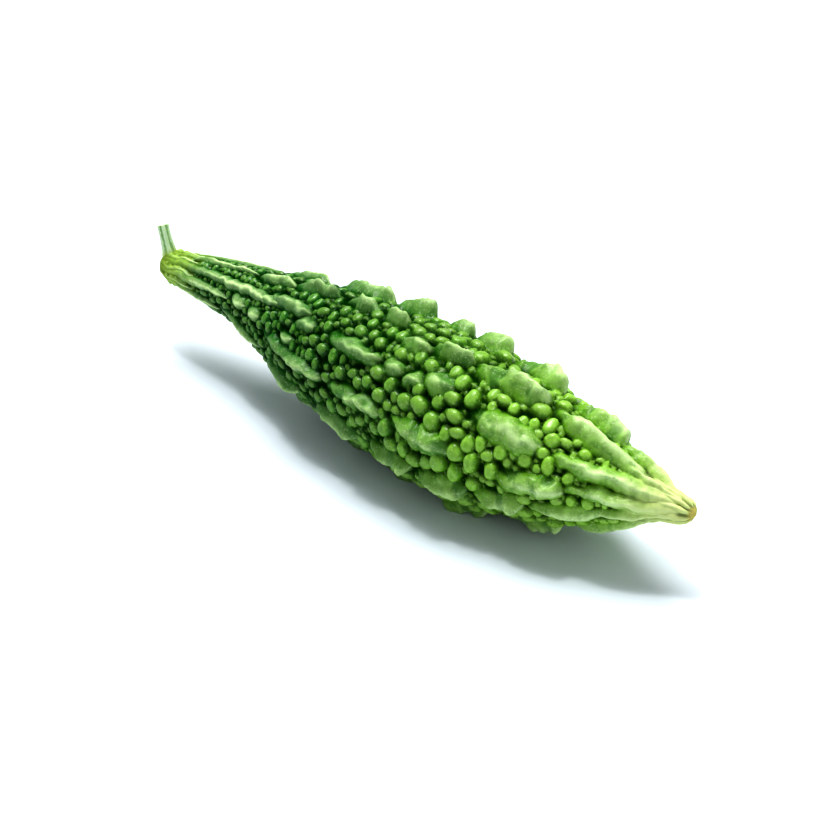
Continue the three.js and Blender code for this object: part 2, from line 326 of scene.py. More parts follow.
def bare_material(name: str) -> tuple[bpy.types.Material, Bench]:
    """A new material with no nodes yet, and the bench that adds them."""
    material = bpy.data.materials.new(name)
    material.use_nodes = True
    material.node_tree.nodes.clear()
    return material, Bench(material.node_tree)


def attach(mesh: bpy.types.Mesh, name: str, values: np.ndarray) -> None:
    """Stores a number or a vector for each point of a mesh.

    Args:
        mesh: The mesh.
        name: The attribute's name.
        values: One row for each point.
    """
    kind, key = ("FLOAT", "value") if values.ndim == 1 else ("FLOAT_VECTOR", "vector")
    attribute = mesh.attributes.new(name, kind, "POINT")
    attribute.data.foreach_set(key, np.ascontiguousarray(values, np.float32).ravel())


class CrestKind(Enum):
    """How a crest is shaped.

    Each has the share of its length where it is highest, the powers of its fall from there, of its
    top and of its flanks, and the depth of its pits in millimetres.
    """

    RIB = (0.76, 3.0, 1.8, 1.0, 0.2)
    STRIP = (0.76, 3.4, 1.6, 1.1, 0.6)
    FIN = (0.76, 5.0, 1.15, 1.3, 1.3)
    POD = (0.7, 3.0, 1.9, 1.0, 1.7)
    KEEL = (0.4, 1.6, 1.4, 1.15, 0.5)


@dataclass(frozen=True)
class Crest:
    """One long knob of the rind, in a row."""

    row: int
    row_angle: float
    start: float
    end: float
    height: float
    half_width: float
    off: float
    kind: CrestKind

    @property
    def base_angle(self) -> float:
        """The angle of its top line, in degrees, before its row weaves."""
        return self.row_angle + self.off


@dataclass(frozen=True)
class Pearl:
    """One wart, with its sizes on the map of the rind, where the rind's radius is 1.

    It swells a little into the gaps beside the circle that touches its neighbours: reach is how
    far. Its tone, from 0 to 1, sets how light it is, how dimpled its top and how long its outline.
    """

    stretch: float
    angle: float
    circle: float
    reach: float
    height: float
    tone: float


RIB, STRIP, FIN, POD, KEEL = CrestKind


@dataclass
class RindForm:
    """Where the smooth rind is, and where its crests and pearls stand on it.

    A place is a station, the X along the fruit, and an angle round it: 0 at the top, 90 on the -Y
    side. A row is its angle and its crests, each with its start and end stations, height, half width,
    angle off the row, and kind.
    """

    length: float = 215.0
    frame_y: float = 3.2005
    stem_cap: float = 5.0
    tip_cap: float = 3.2
    valley_radius: Points = (
        (-107.5, 4.7), (-97, 5.4), (-82, 6.9), (-67, 9.1), (-52, 12.3), (-37, 15.4), (-20, 18.1), (0, 20.2),
        (22, 21), (42, 19.8), (58, 17.2), (72, 13.4), (86, 8.6), (96, 5), (103, 3.1), (107.5, 2.3),
    )
    full_radius: float = 21.0
    midline_y: Points = ((-107.5, 2.2), (-70, 2.9), (-35, 0.2), (20, -3), (70, -3.6), (107.5, -1))
    midline_z: Points = (
        (-107.5, 27.3), (-70, 27.5), (-35, 25.9), (20, 23.3), (70, 22.7), (107.5, 23.5),
    )
    steepest_lean: float = 0.5
    row_weave: float = 2.2
    weave_length: float = 70.0
    weave_shift: float = 1.9
    crest_rise: float = 2.2
    crest_taper: float = 0.35
    pearl_full: Points = (
        (-107.5, 0.9), (-90, 1.2), (-70, 1.45), (-45, 1.75), (-20, 2.1), (10, 2.5), (40, 2.8), (62, 2.6),
        (80, 1.9), (95, 1.1), (107.5, 0.6),
    )
    pearl_seed: int = 20417
    pearl_tries: int = 9000
    filler_tries: int = 14000
    pearl_evenness: float = 0.72
    pearl_first: float = 0.92
    pearl_least: float = 0.45
    filler_least: float = 0.25
    pearl_end_room: float = 6.0
    pearl_footing: float = 0.62
    pearl_overlap: float = 0.34
    pearl_height: float = 1.1
    swollen_height: float = 0.35
    tone_seed: int = 7919
    crest_rows: Sequence[tuple[float, Sequence[tuple]]] = (
        (6, (
            (-105, -60, 1.9, 1.7, 0, RIB), (-63, -42, 2.9, 2.8, 0, STRIP), (-44, -23, 5, 4, -4, FIN),
            (-21, -6, 4.8, 4.2, -3, FIN), (-6, 6, 5.2, 4.2, -6, FIN), (8, 20, 4.2, 4, 9, STRIP),
            (18, 34, 6.6, 4.6, 2, FIN), (33, 60, 6.8, 5.6, 1, FIN), (61, 94, 4.8, 4, 0, KEEL),
            (84, 105, 2.4, 2.2, 9, KEEL), (92, 106.8, 1.3, 1.3, -11, KEEL),
        )),
        (42, (
            (-106, -38, 2.5, 2.1, -1, RIB), (-50, -26, 3.4, 3, -7, STRIP), (-33, -22, 2.8, 3, 3, STRIP),
            (-17, 8, 4.4, 3.8, -1, STRIP), (8, 17, 3.6, 3.6, -1, STRIP), (16, 24, 3.6, 4, 2, STRIP),
            (23, 35, 4.6, 4.6, -4, POD), (41, 66, 5, 5, 4, POD), (67, 104, 4.2, 3.2, 5, KEEL),
            (88, 106.8, 1.4, 1.3, -10, KEEL),
        )),
        (78, (
            (-105, -67, 2, 1.7, -4, RIB), (-67, -57, 2.8, 3.2, -10, STRIP),
            (-56, -48, 2.8, 2.8, -10, STRIP), (-38, -29, 2.8, 2.4, -14, STRIP),
            (-47, -12, 4.6, 3.4, 1, STRIP), (-11, 14, 5, 4.2, 2, FIN), (16, 41, 5.6, 4.6, 1, POD),
            (54, 75, 5, 4.4, 7, POD), (73, 105, 3.8, 3, 2, KEEL), (86, 106.8, 1.5, 1.4, 19, KEEL),
        )),
        (114, (
            (-105, -73, 1.9, 1.6, 2, RIB), (-75, -48, 2.6, 2.3, -8, RIB), (-47, -24, 4.4, 3.6, 0, STRIP),
            (-22, 5, 5, 4.2, 0, FIN), (7, 26, 5.2, 4.4, -5, FIN), (25, 46, 6, 5, 0, FIN),
            (46, 64, 5.6, 4.8, 0, FIN), (63, 88, 4.2, 3.6, 0, KEEL), (77, 106.5, 2.6, 2.3, -5, KEEL),
        )),
        (156, (
            (-105, -66, 1.9, 1.6, 0, RIB), (-68, -46, 3, 3, 2, STRIP), (-47, -25, 4.4, 3.8, 0, STRIP),
            (-25, -4, 6.6, 5, 6, POD), (-3, 19, 6, 5, 2, POD), (20, 46, 6, 5.2, 2, POD),
            (47, 70, 5, 4.6, 0, FIN), (70, 98, 3.6, 3.2, 0, KEEL), (87, 106.8, 1.4, 1.4, 14, KEEL),
        )),
        (199, (
            (-105, -58, 1.9, 1.6, 0, RIB), (-59, -39, 3.6, 3.2, -2, STRIP), (-38, -15, 5, 4.2, 0, FIN),
            (-14, 8, 5.6, 4.8, 0, POD), (9, 33, 5, 5, 0, POD), (34, 58, 5.8, 5, 0, POD),
            (59, 90, 4.4, 3.8, 0, KEEL), (78, 106.5, 2.4, 2.2, 5, KEEL),
        )),
        (243, (
            (-105, -70, 1.9, 1.6, 0, RIB), (-71, -51, 2.8, 2.8, 0, STRIP), (-52, -30, 4.4, 3.6, 2, STRIP),
            (-29, -8, 5.2, 4.2, -1, FIN), (-7, 12, 5.4, 4.4, 2, FIN), (13, 38, 6.2, 5, 0, FIN),
            (39, 60, 6, 4.8, 0, FIN), (61, 92, 4.6, 3.8, 0, KEEL), (80, 106.5, 2.4, 2.1, -6, KEEL),
        )),
        (286, (
            (-105, -62, 1.9, 1.6, 0, RIB), (-63, -44, 3.4, 3, 0, STRIP), (-43, -20, 5, 4, 0, FIN),
            (-19, 2, 5.6, 4.4, 3, FIN), (3, 27, 6, 4.8, 0, FIN), (28, 47, 6, 4.8, -2, FIN),
            (48, 72, 5.6, 4.8, 0, POD), (72, 101, 4, 3.2, 0, KEEL), (86, 106.8, 1.5, 1.4, -17, KEEL),
        )),
        (330, (
            (-105, -56, 1.9, 1.7, 0, RIB), (-58, -36, 3.6, 3, 2, STRIP), (-36, -9, 6.2, 4.8, 0, FIN),
            (-9, 7, 7.2, 5, 2, FIN), (9, 20, 5.4, 4.2, -3, FIN), (20, 36, 6.8, 5, 3, FIN),
            (37, 57, 7, 5.2, 1, FIN), (61, 81, 6, 5, 1, FIN), (79, 103, 3.6, 3.1, 4, KEEL),
            (90, 106.8, 1.4, 1.4, -15, KEEL),
        )),
    )
    fine_ribs: Sequence[tuple] = (
        (-106.5, -86, 1.1, 1, 21, RIB), (89, 107.1, 1.2, 1.1, 22, RIB),
    )
    chart_step: float = 0.5
    chart_end_rings: int = 60
    chart: tuple[np.ndarray, np.ndarray] = field(init=False)

    def __post_init__(self) -> None:
        """Works out the way over the rind to each station, in units of the radius there."""
        body = np.arange(*self.body_ends, self.chart_step)
        stations = self.capped(body, cap_shares(self.chart_end_rings))
        radii = self.radius(stations)
        steps = 2 * np.hypot(np.diff(stations), np.diff(radii)) / (radii[1:] + radii[:-1])
        self.chart = stations, np.concatenate([[0.0], np.cumsum(steps)])

    @property
    def stem_end(self) -> float:
        """The station of the stem end."""
        return -self.length / 2

    @property
    def tip_end(self) -> float:
        """The station of the blossom tip."""
        return self.length / 2

    @property
    def body_ends(self) -> tuple[float, float]:
        """The stations where the rounded ends begin."""
        return self.stem_end + self.stem_cap, self.tip_end - self.tip_cap

    def capped(self, body: np.ndarray, shares: np.ndarray) -> np.ndarray:
        """The stations of both rounded ends with those of the body between them.

        Args:
            body: The body's stations.
            shares: How far into an end its rings are, as cap_shares gives it.

        Returns:
            All of them, from the stem end to the tip.
        """
        stem, tip = self.stem_end + self.stem_cap * shares, self.tip_end - self.tip_cap * shares
        return np.concatenate([stem, body, tip[::-1]])

    def radius(self, station: np.ndarray) -> np.ndarray:
        """The radius at the bottom of the valleys, rounded off to nothing at both ends.

        Args:
            station: The stations.

        Returns:
            The radius at each.
        """
        into_stem = (self.stem_end + self.stem_cap - station) / self.stem_cap
        into_tip = (station - self.tip_end + self.tip_cap) / self.tip_cap
        into = np.clip(np.maximum(into_stem, into_tip), 0, 1)
        return through(self.valley_radius, station) * np.sqrt(1 - into ** 2)

    def stretch(self, station: np.ndarray) -> np.ndarray:
        """A station's place on the map of the rind."""
        return np.interp(station, *self.chart)

    def lean(self, station: np.ndarray) -> np.ndarray:
        """The angle, in radians, by which relief leans towards the stem end."""
        slope = self.radius(station + 0.5) - self.radius(station - 0.5)
        return np.arctan(np.clip(slope, -self.steepest_lean, self.steepest_lean))

    def crests(self, between_rows: bool = False) -> list[Crest]:
        """Every crest, or else the fine ribs between the rows, which the solid doesn't have."""
        return [
            Crest(row, angle, *spans)
            for row, (angle, crests) in enumerate(self.crest_rows)
            for spans in (self.fine_ribs if between_rows else crests)
        ]

    def crest_angle(self, crest: Crest, station: float) -> float:
        """The angle of a crest's top line at a station, in degrees."""
        phase = 2 * math.pi * station / self.weave_length + self.weave_shift * crest.row
        return crest.base_angle + self.row_weave * math.sin(phase)

    def across(self, crest: Crest, station: float, angle: float, radius: float) -> float:
        """How far across a crest a place is.

        Args:
            crest: The crest.
            station: The place's station.
            angle: Its angle in degrees.
            radius: The rind's radius there.

        Returns:
            0 on the crest's top line, 1 at its foot, and more beyond.
        """
        along = (station - crest.start) / (crest.end - crest.start)
        if along <= 0 or along >= 1:
            return math.inf
        turn = (angle - self.crest_angle(crest, station) + 180) % 360 - 180
        reach = crest.half_width * (4 * along * (1 - along)) ** self.crest_taper
        return abs(math.radians(turn)) * radius / reach

    def pearls(self) -> list[Pearl]:
        """Pearls settle at random, the big ones first, and each grows until it touches a neighbour.

        Returns:
            The pearls of the solid, and then the finer ones that fill the gaps between them.
        """
        draw = dice(self.pearl_seed)
        crests = self.crests()
        tries = self.pearl_tries + self.filler_tries
        places = np.empty((tries, 3))
        taken = 0
        pearls: list[Pearl] = []
        room = self.length - 2 * self.pearl_end_room
        for i in range(tries):
            station = self.stem_end + self.pearl_end_room + room * next(draw)
            angle = 360 * next(draw)
            evenness = self.pearl_evenness + (1 - self.pearl_evenness) * next(draw)
            stretch = float(self.stretch(station))
            radius_here = float(self.radius(np.array(station)))
            full = float(through(self.pearl_full, station)) * evenness
            early = max(self.pearl_first - i / self.pearl_tries, self.pearl_least)
            least = full * (early if i < self.pearl_tries else self.filler_least)
            turns = (np.radians(places[:taken, 1] - angle) + np.pi) % (2 * np.pi) - np.pi
            gaps = np.hypot(places[:taken, 0] - stretch, turns) - places[:taken, 2]
            radius = min(full, gaps.min(initial=np.inf) * radius_here)
            if radius < least:
                continue
            for crest in crests:
                across = self.across(crest, station, angle, radius_here)
                radius = min(radius, (across - self.pearl_footing) * crest.half_width)
            if radius < least:
                continue
            places[taken] = stretch, angle, radius / radius_here
            taken += 1
            circle = radius / radius_here
            swollen = self.pearl_overlap * full / evenness / radius_here
            height = self.pearl_height * (circle + self.swollen_height * swollen)
            tone = next(dice(self.tone_seed * i))
            pearls.append(
                Pearl(stretch, math.radians(angle), circle, circle + swollen, height, tone)
            )
        return pearls


@dataclass
class Fruit:
    """The fruit: a fine spindle, its seats, and the tree that raises its relief.

    A grain is the size of a noise's blotches. The wobble bends the pearls' outlines and the sway the
    crests' lines, the drifts make a crest's ends and width uneven, and knobs, pits and lumps roughen
    what is raised. Each edge is where a ramp starts and where it is full.
    """

    form: RindForm
    place: Vector
    rings: int = 344
    sides: int = 280
    end_rings: int = 7
    thin_step: float = 0.4
    added_step: float = 0.2
    wobble: float = 2.2
    wobble_grain: float = 5.0
    crest_sway: float = 0.08
    sway_growth: float = 0.06
    end_drift: float = 2.0
    width_drift: float = 0.5
    skin_lumps: float = 0.8
    lump_grain: float = 2.2
    lump_growth: float = 0.08
    lump_start: float = 0.3
    knob_grain: float = 6.5
    plain_knobs: float = 0.2
    pit_knobs: float = 0.42
    most_knobs: float = 0.8
    pit_grain: float = 6.0
    pit_share: float = 0.5
    pit_edge: tuple[float, float] = (0.48, 0.66)
    dimple: float = 0.12
    dimple_edge: tuple[float, float] = (0.86, 1.0)
    dimpled_tones: tuple[float, float] = (0.3, 0.9)
    ovalness: float = 0.4
    least_along: float = 0.001
    crest_sizes: Sequence[str] = (
        "start", "span", "height", "half_width", "line", "phase",
        "peak", "fall", "top", "flank", "pits",
    )

    def build(self, material: bpy.types.Material) -> bpy.types.Object:
        """Builds the fruit as one plain mesh.

        Args:
            material: Its finish.

        Returns:
            The finished object.
        """
        pearls = self.form.pearls()
        crests = self.form.crests() + self.form.crests(between_rows=True)
        LOG.info("fruit: %d crests and %d pearls", len(crests), len(pearls))
        blank = self.spindle()
        pearl_seats = self.pearl_seats(pearls)
        crest_seats = self.crest_seats(crests)
        tree = self.relief_tree()
        modifier = blank.modifiers.new("relief", "NODES")
        modifier.node_group = tree
        settings = {
            "Pearl Seats": pearl_seats, "Crest Seats": crest_seats, "Crest Count": len(crests),
            "Wobble": self.wobble, "Crest Sway": self.crest_sway, "Skin Lumps": self.skin_lumps,
            "Material": material,
        }
        for item in tree.interface.items_tree:
            if item.name in settings:
                modifier[item.identifier] = settings[item.name]
        blank.update_tag()
        graph = bpy.context.evaluated_depsgraph_get()
        mesh = bpy.data.meshes.new_from_object(blank.evaluated_get(graph))
        fruit = placed("gourd_fruit", mesh)
        for helper in (blank, pearl_seats, crest_seats):
            bpy.data.objects.remove(helper)
        mesh.shade_smooth()
        return fruit

    def stations(self) -> np.ndarray:
        """The station of each ring of the spindle, closer together towards both ends.

        Returns:
            The stations, from the stem end to the tip.
        """
        form = self.form
        fine = np.linspace(*form.body_ends, 2000)
        thickness = np.sqrt(form.radius(fine) / form.full_radius)
        density = 1 / (self.thin_step + self.added_step * thickness)
        share = np.concatenate([[0], np.cumsum((density[1:] + density[:-1]) / 2)])
        even = np.linspace(0, share[-1], self.rings - 2 * self.end_rings)
        return form.capped(np.interp(even, share, fine), cap_shares(self.end_rings)[:-1])

    def spindle(self) -> bpy.types.Object:
        """The smooth rind as a closed mesh.

        Returns:
            Its object, whose points have their place and their directions as attributes.
        """
        form = self.form
        stations = self.stations()
        rings, sides = len(stations), self.sides
        angles = 2 * np.pi * np.arange(sides) / sides
        station, angle = (grid.ravel() for grid in np.meshgrid(stations, angles, indexing="ij"))
        station = np.concatenate([station, [form.stem_end, form.tip_end]])
        angle = np.concatenate([angle, [0.0, 0.0]])
        radius = form.radius(station)
        lean = form.lean(station)
        sin, cos, zero = np.sin(angle), np.cos(angle), np.zeros_like(angle)
        points = np.stack([
            station, through(form.midline_y, station) - radius * sin,
            through(form.midline_z, station) + radius * cos,
        ], 1) + np.array(self.place)
        ring = np.arange((rings - 1) * sides).reshape(rings - 1, sides)
        beside = np.roll(ring, -1, axis=1)
        quads = np.stack([ring, beside, beside + sides, ring + sides], -1).reshape(-1, 4)
        stem, tip = rings * sides, rings * sides + 1
        first, last = np.arange(sides), np.arange(sides) + (rings - 1) * sides
        fans = [(stem, b, a) for a, b in zip(first, np.roll(first, -1))]
        fans += [(tip, a, b) for a, b in zip(last, np.roll(last, -1))]
        mesh = bpy.data.meshes.new("spindle")
        mesh.from_pydata(points * MM, [], [*quads.tolist(), *fans])
        attributes = {
            "station": station, "stretch": form.stretch(station), "angle": angle,
            "rind_radius": radius,
            "outward": np.stack([-np.sin(lean), -np.cos(lean) * sin, np.cos(lean) * cos], 1),
            "around": np.stack([zero, -cos, -sin], 1),
            "along": np.stack([np.cos(lean), -np.sin(lean) * sin, np.sin(lean) * cos], 1),
        }
        for name, values in attributes.items():
            attach(mesh, name, values)
        return placed("spindle", mesh)

    def pearl_seats(self, pearls: list[Pearl]) -> bpy.types.Object:
        """A cloud with a point for each pearl, on the map of the rind.

        Each stands off the map's plane by so much that the seat nearest to any place is the pearl
        that the place belongs to, whatever the pearls' sizes. The map repeats once on either side.

        Args:
            pearls: The pearls.

        Returns:
            An object whose mesh has only points, with each pearl's sizes and tone.
        """
        rows = np.array([(p.stretch, p.angle, p.reach, p.circle, p.height, p.tone) for p in pearls])
        rows = np.concatenate([rows + [0, turn, 0, 0, 0, 0] for turn in (-2 * np.pi, 0, 2 * np.pi)])
        rise = np.sqrt(np.maximum(rows[:, 2].max() ** 2 - rows[:, 2] ** 2, 0))
        mesh = bpy.data.meshes.new("pearl_seats")
        mesh.from_pydata(np.stack([rows[:, 0], rows[:, 1], rise], 1), [], [])
        for column, name in enumerate(("reach", "circle", "height", "tone"), 2):
            attach(mesh, name, rows[:, column])
        return placed("pearl_seats", mesh)

    def crest_seats(self, crests: list[Crest]) -> bpy.types.Object:
        """A cloud with a point for each crest, which only carries the crest's sizes.

        Args:
            crests: The crests.

        Returns:
            An object whose mesh has only points, with each crest's sizes and powers.
        """
        mesh = bpy.data.meshes.new("crest_seats")
        mesh.from_pydata([(c.start, c.base_angle, 0) for c in crests], [], [])
        rows = np.array([
            (c.start, c.end - c.start, c.height, c.half_width, math.radians(c.base_angle),
             self.form.weave_shift * c.row, *c.kind.value)
            for c in crests
        ])
        for name, values in zip(self.crest_sizes, rows.T):
            attach(mesh, name, values)
        return placed("crest_seats", mesh)

    def relief_tree(self) -> bpy.types.NodeTree:
        """The Geometry Nodes tree that raises the crests and pearls out of the smooth rind.

        Returns:
            The tree.
        """
        tree = bpy.data.node_groups.new("rind_relief", "GeometryNodeTree")
        sockets = {
            "Rind": "NodeSocketGeometry", "Pearl Seats": "NodeSocketObject",
            "Crest Seats": "NodeSocketObject", "Crest Count": "NodeSocketInt",
            "Wobble": "NodeSocketFloat", "Crest Sway": "NodeSocketFloat",
            "Skin Lumps": "NodeSocketFloat", "Material": "NodeSocketMaterial",
        }
        for name, kind in sockets.items():
            tree.interface.new_socket(name, in_out="INPUT", socket_type=kind)
        tree.interface.new_socket("Rind", in_out="OUTPUT", socket_type="NodeSocketGeometry")
        bench = Bench(tree)
        given = bench.node("NodeGroupInput").outputs
        position = bench.node("GeometryNodeInputPosition").outputs[0]
        wander = bench.noise(position, self.wobble_grain, 1.0).outputs["Color"]
        wander = bench.vector("SUBTRACT", wander, (0.5, 0.5, 0.5))
        drift_along, drift_round, _ = bench.parts(wander)
        radius = bench.read("rind_radius")
        wobble = Number(bench, given["Wobble"]) / radius.at_least(1.0)
        stretch = bench.read("stretch") + drift_along * wobble
        angle = bench.read("angle") + drift_round * wobble

        # Crests: their highest relief at each place, then its pits and knobs
        sway = Number(bench, given["Crest Sway"]) * drift_round
        sway = sway * (radius * self.sway_growth).at_most(1.0)
        crested = self.raise_crests(bench, given, angle + sway, radius, drift_along)
        crest = bench.read("crest")
        pits = bench.read("crest_pits")
        pit = pits * bench.blotches(position, self.pit_grain).ramp(*self.pit_edge)
        knobs = bench.blotches(position, self.knob_grain) - 0.5
        knobs = knobs * (self.plain_knobs + self.pit_knobs * pits).at_most(self.most_knobs)
        crest = (crest - pit.at_most(crest * self.pit_share)) * (1.0 + knobs)

        # Pearls: the seat that a place belongs to, and how high the pearl is at that place
        cloud = bench.node("GeometryNodeObjectInfo", {"Object": given["Pearl Seats"]})
        seats = cloud.outputs["Geometry"]
        query = {"Geometry": seats, "Sample Position": bench.joined(stretch, angle, 0.0)}
        nearest = bench.node("GeometryNodeSampleNearest", query, domain="POINT").outputs["Index"]
        seat = bench.node("GeometryNodeInputPosition").outputs[0]
        seat = bench.sample(seats, seat, nearest, "FLOAT_VECTOR")
        reach, circle, height, tone = (
            Number(bench, bench.sample(seats, bench.read(name), nearest))
            for name in ("reach", "circle", "height", "tone")
        )
        seat_stretch, seat_angle, _ = bench.parts(seat)
        away_along, away_round = stretch - seat_stretch, angle - seat_angle
        oval = 1.0 + self.ovalness * (tone - 0.5)
        away = ((away_along * oval) ** 2.0 + (away_round / oval) ** 2.0) ** 0.5
        share = (away / reach).at_most(1.0)
        swell = bench.maths("COSINE", share * (math.pi / 2))
        inner = (away / circle).at_most(1.0)
        spread = (bench.maths("SINE", inner * (math.pi / 2)) - inner) * circle / away.at_least(1e-5)
        dimple = swell.ramp(*self.dimple_edge) * tone.ramp(*self.dimpled_tones)
        pearl = height * radius * (swell - self.dimple * dimple)
        on_pearl = pearl.over(crest)
        slide = spread * on_pearl * radius * MM

        # The rind: raised to the higher of the two with an uneven skin, and spread to round pearls
        lumps = bench.blotches(position, self.lump_grain) - 0.5
        lumps = lumps * Number(bench, given["Skin Lumps"])
        lumps = lumps * (radius * self.lump_growth - self.lump_start).at_least(0.1).at_most(1.0)
        relief = (pearl.at_least(crest) + lumps).at_least(0.0)
        moves = (relief * MM, slide * away_along, slide * away_round)
        offset = None
        for name, length in zip(("outward", "along", "around"), moves):
            kind = "GeometryNodeInputNamedAttribute"
            way = bench.node(kind, {"Name": name}, data_type="FLOAT_VECTOR").outputs["Attribute"]
            step = bench.vector("SCALE", way, scale=length)
            offset = step if offset is None else bench.vector("ADD", offset, step)
        marked = bench.store(crested, {
            "relief": relief, "swell": swell * on_pearl, "tone": (tone - 0.5) * on_pearl + 0.5,
            "ridge": crest, "pit": pit,
        })

        # The finished fruit: nothing below the ground that it lies on, one plain mesh in its finish
        x, y, z = bench.parts(position)
        grounded = bench.joined(x, y, z.at_least(0.0))
        finished = marked
        for kind, inputs in (
            ("GeometryNodeSetPosition", {"Offset": offset}),
            ("GeometryNodeSetPosition", {"Position": grounded}),
            ("GeometryNodeRealizeInstances", {}),
            ("GeometryNodeSetMaterial", {"Material": given["Material"]}),
        ):
            finished = bench.node(kind, {"Geometry": finished, **inputs}).outputs["Geometry"]
        bench.node("NodeGroupOutput", {0: finished})
        return tree

    def raise_crests(
        self, bench: Bench, given: bpy.types.NodeOutputs, angle: Number, radius: Number,
        drift: Number,
    ) -> bpy.types.NodeSocket:
        """Goes through the crests one by one, and stores the highest relief of them at every place.

        Args:
            bench: The tree's bench.
            given: The tree's inputs.
            angle: Each place's angle in radians.
            radius: The rind's radius there.
            drift: A small random number at each place, which makes the crests' outlines uneven.

        Returns:
            The rind with the attributes crest, the relief in millimetres, crest_pits, the depth of
            its pits, and crown, from 0 at the foot of a crest to 1 on its top line.
        """
        cloud = bench.node("GeometryNodeObjectInfo", {"Object": given["Crest Seats"]})
        seats = cloud.outputs["Geometry"]
        tree = bench.tree
        start_node = bench.node("GeometryNodeRepeatInput")
        end_node = bench.node("GeometryNodeRepeatOutput")
        start_node.pair_with_output(end_node)
        end_node.repeat_items.new("INT", "Number")
        tree.links.new(given["Crest Count"], start_node.inputs["Iterations"])
        started = bench.store(given["Rind"], {"crest": 0.0, "crest_pits": 0.0, "crown": 0.0})
        tree.links.new(started, start_node.inputs["Geometry"])
        number = start_node.outputs["Number"]
        size = {
            name: Number(bench, bench.sample(seats, bench.read(name), number))
            for name in self.crest_sizes
        }
        station = bench.read("station") + drift * self.end_drift
        along = (station - size["start"]) / size["span"]
        inside = along.over(0.0) * (1.0 - along.over(1.0))
        along = along.at_least(self.least_along).at_most(1 - self.least_along)
        turn = 2 * math.pi / self.form.weave_length
        weave = bench.maths("SINE", bench.read("station") * turn + size["phase"])
        line = size["line"] + weave * math.radians(self.form.row_weave)
        gap = bench.maths("WRAP", angle - line, math.pi, -math.pi)
        taper = (4.0 * along * (1.0 - along)) ** self.form.crest_taper
        reach = size["half_width"] * taper * (1.0 + self.width_drift * drift)
        across = (bench.maths("ABSOLUTE", gap) * radius / reach).at_most(1.0)
        peak = size["peak"]
        rise = 1.0 - (1.0 - along / peak).at_least(0.0) ** self.form.crest_rise
        fall = 1.0 - ((along - peak) / (1 - peak)).at_least(0.0) ** size["fall"]
        section = (1.0 - across ** size["top"]) ** size["flank"]
        relief = size["height"] * rise * fall * section * inside
        before = bench.read("crest")
        higher = relief.over(before)
        pits = size["pits"] * higher + bench.read("crest_pits") * (1.0 - higher)
        crown = (1.0 - across) * rise * higher + bench.read("crown") * (1.0 - higher)
        marks = {"crest_pits": pits, "crown": crown, "crest": relief.at_least(before)}
        stored = bench.store(start_node.outputs["Geometry"], marks)
        tree.links.new(stored, end_node.inputs["Geometry"])
        following = bench.maths("ADD", number, 1.0)
        tree.links.new(following.socket, end_node.inputs["Number"])
        return end_node.outputs["Geometry"]


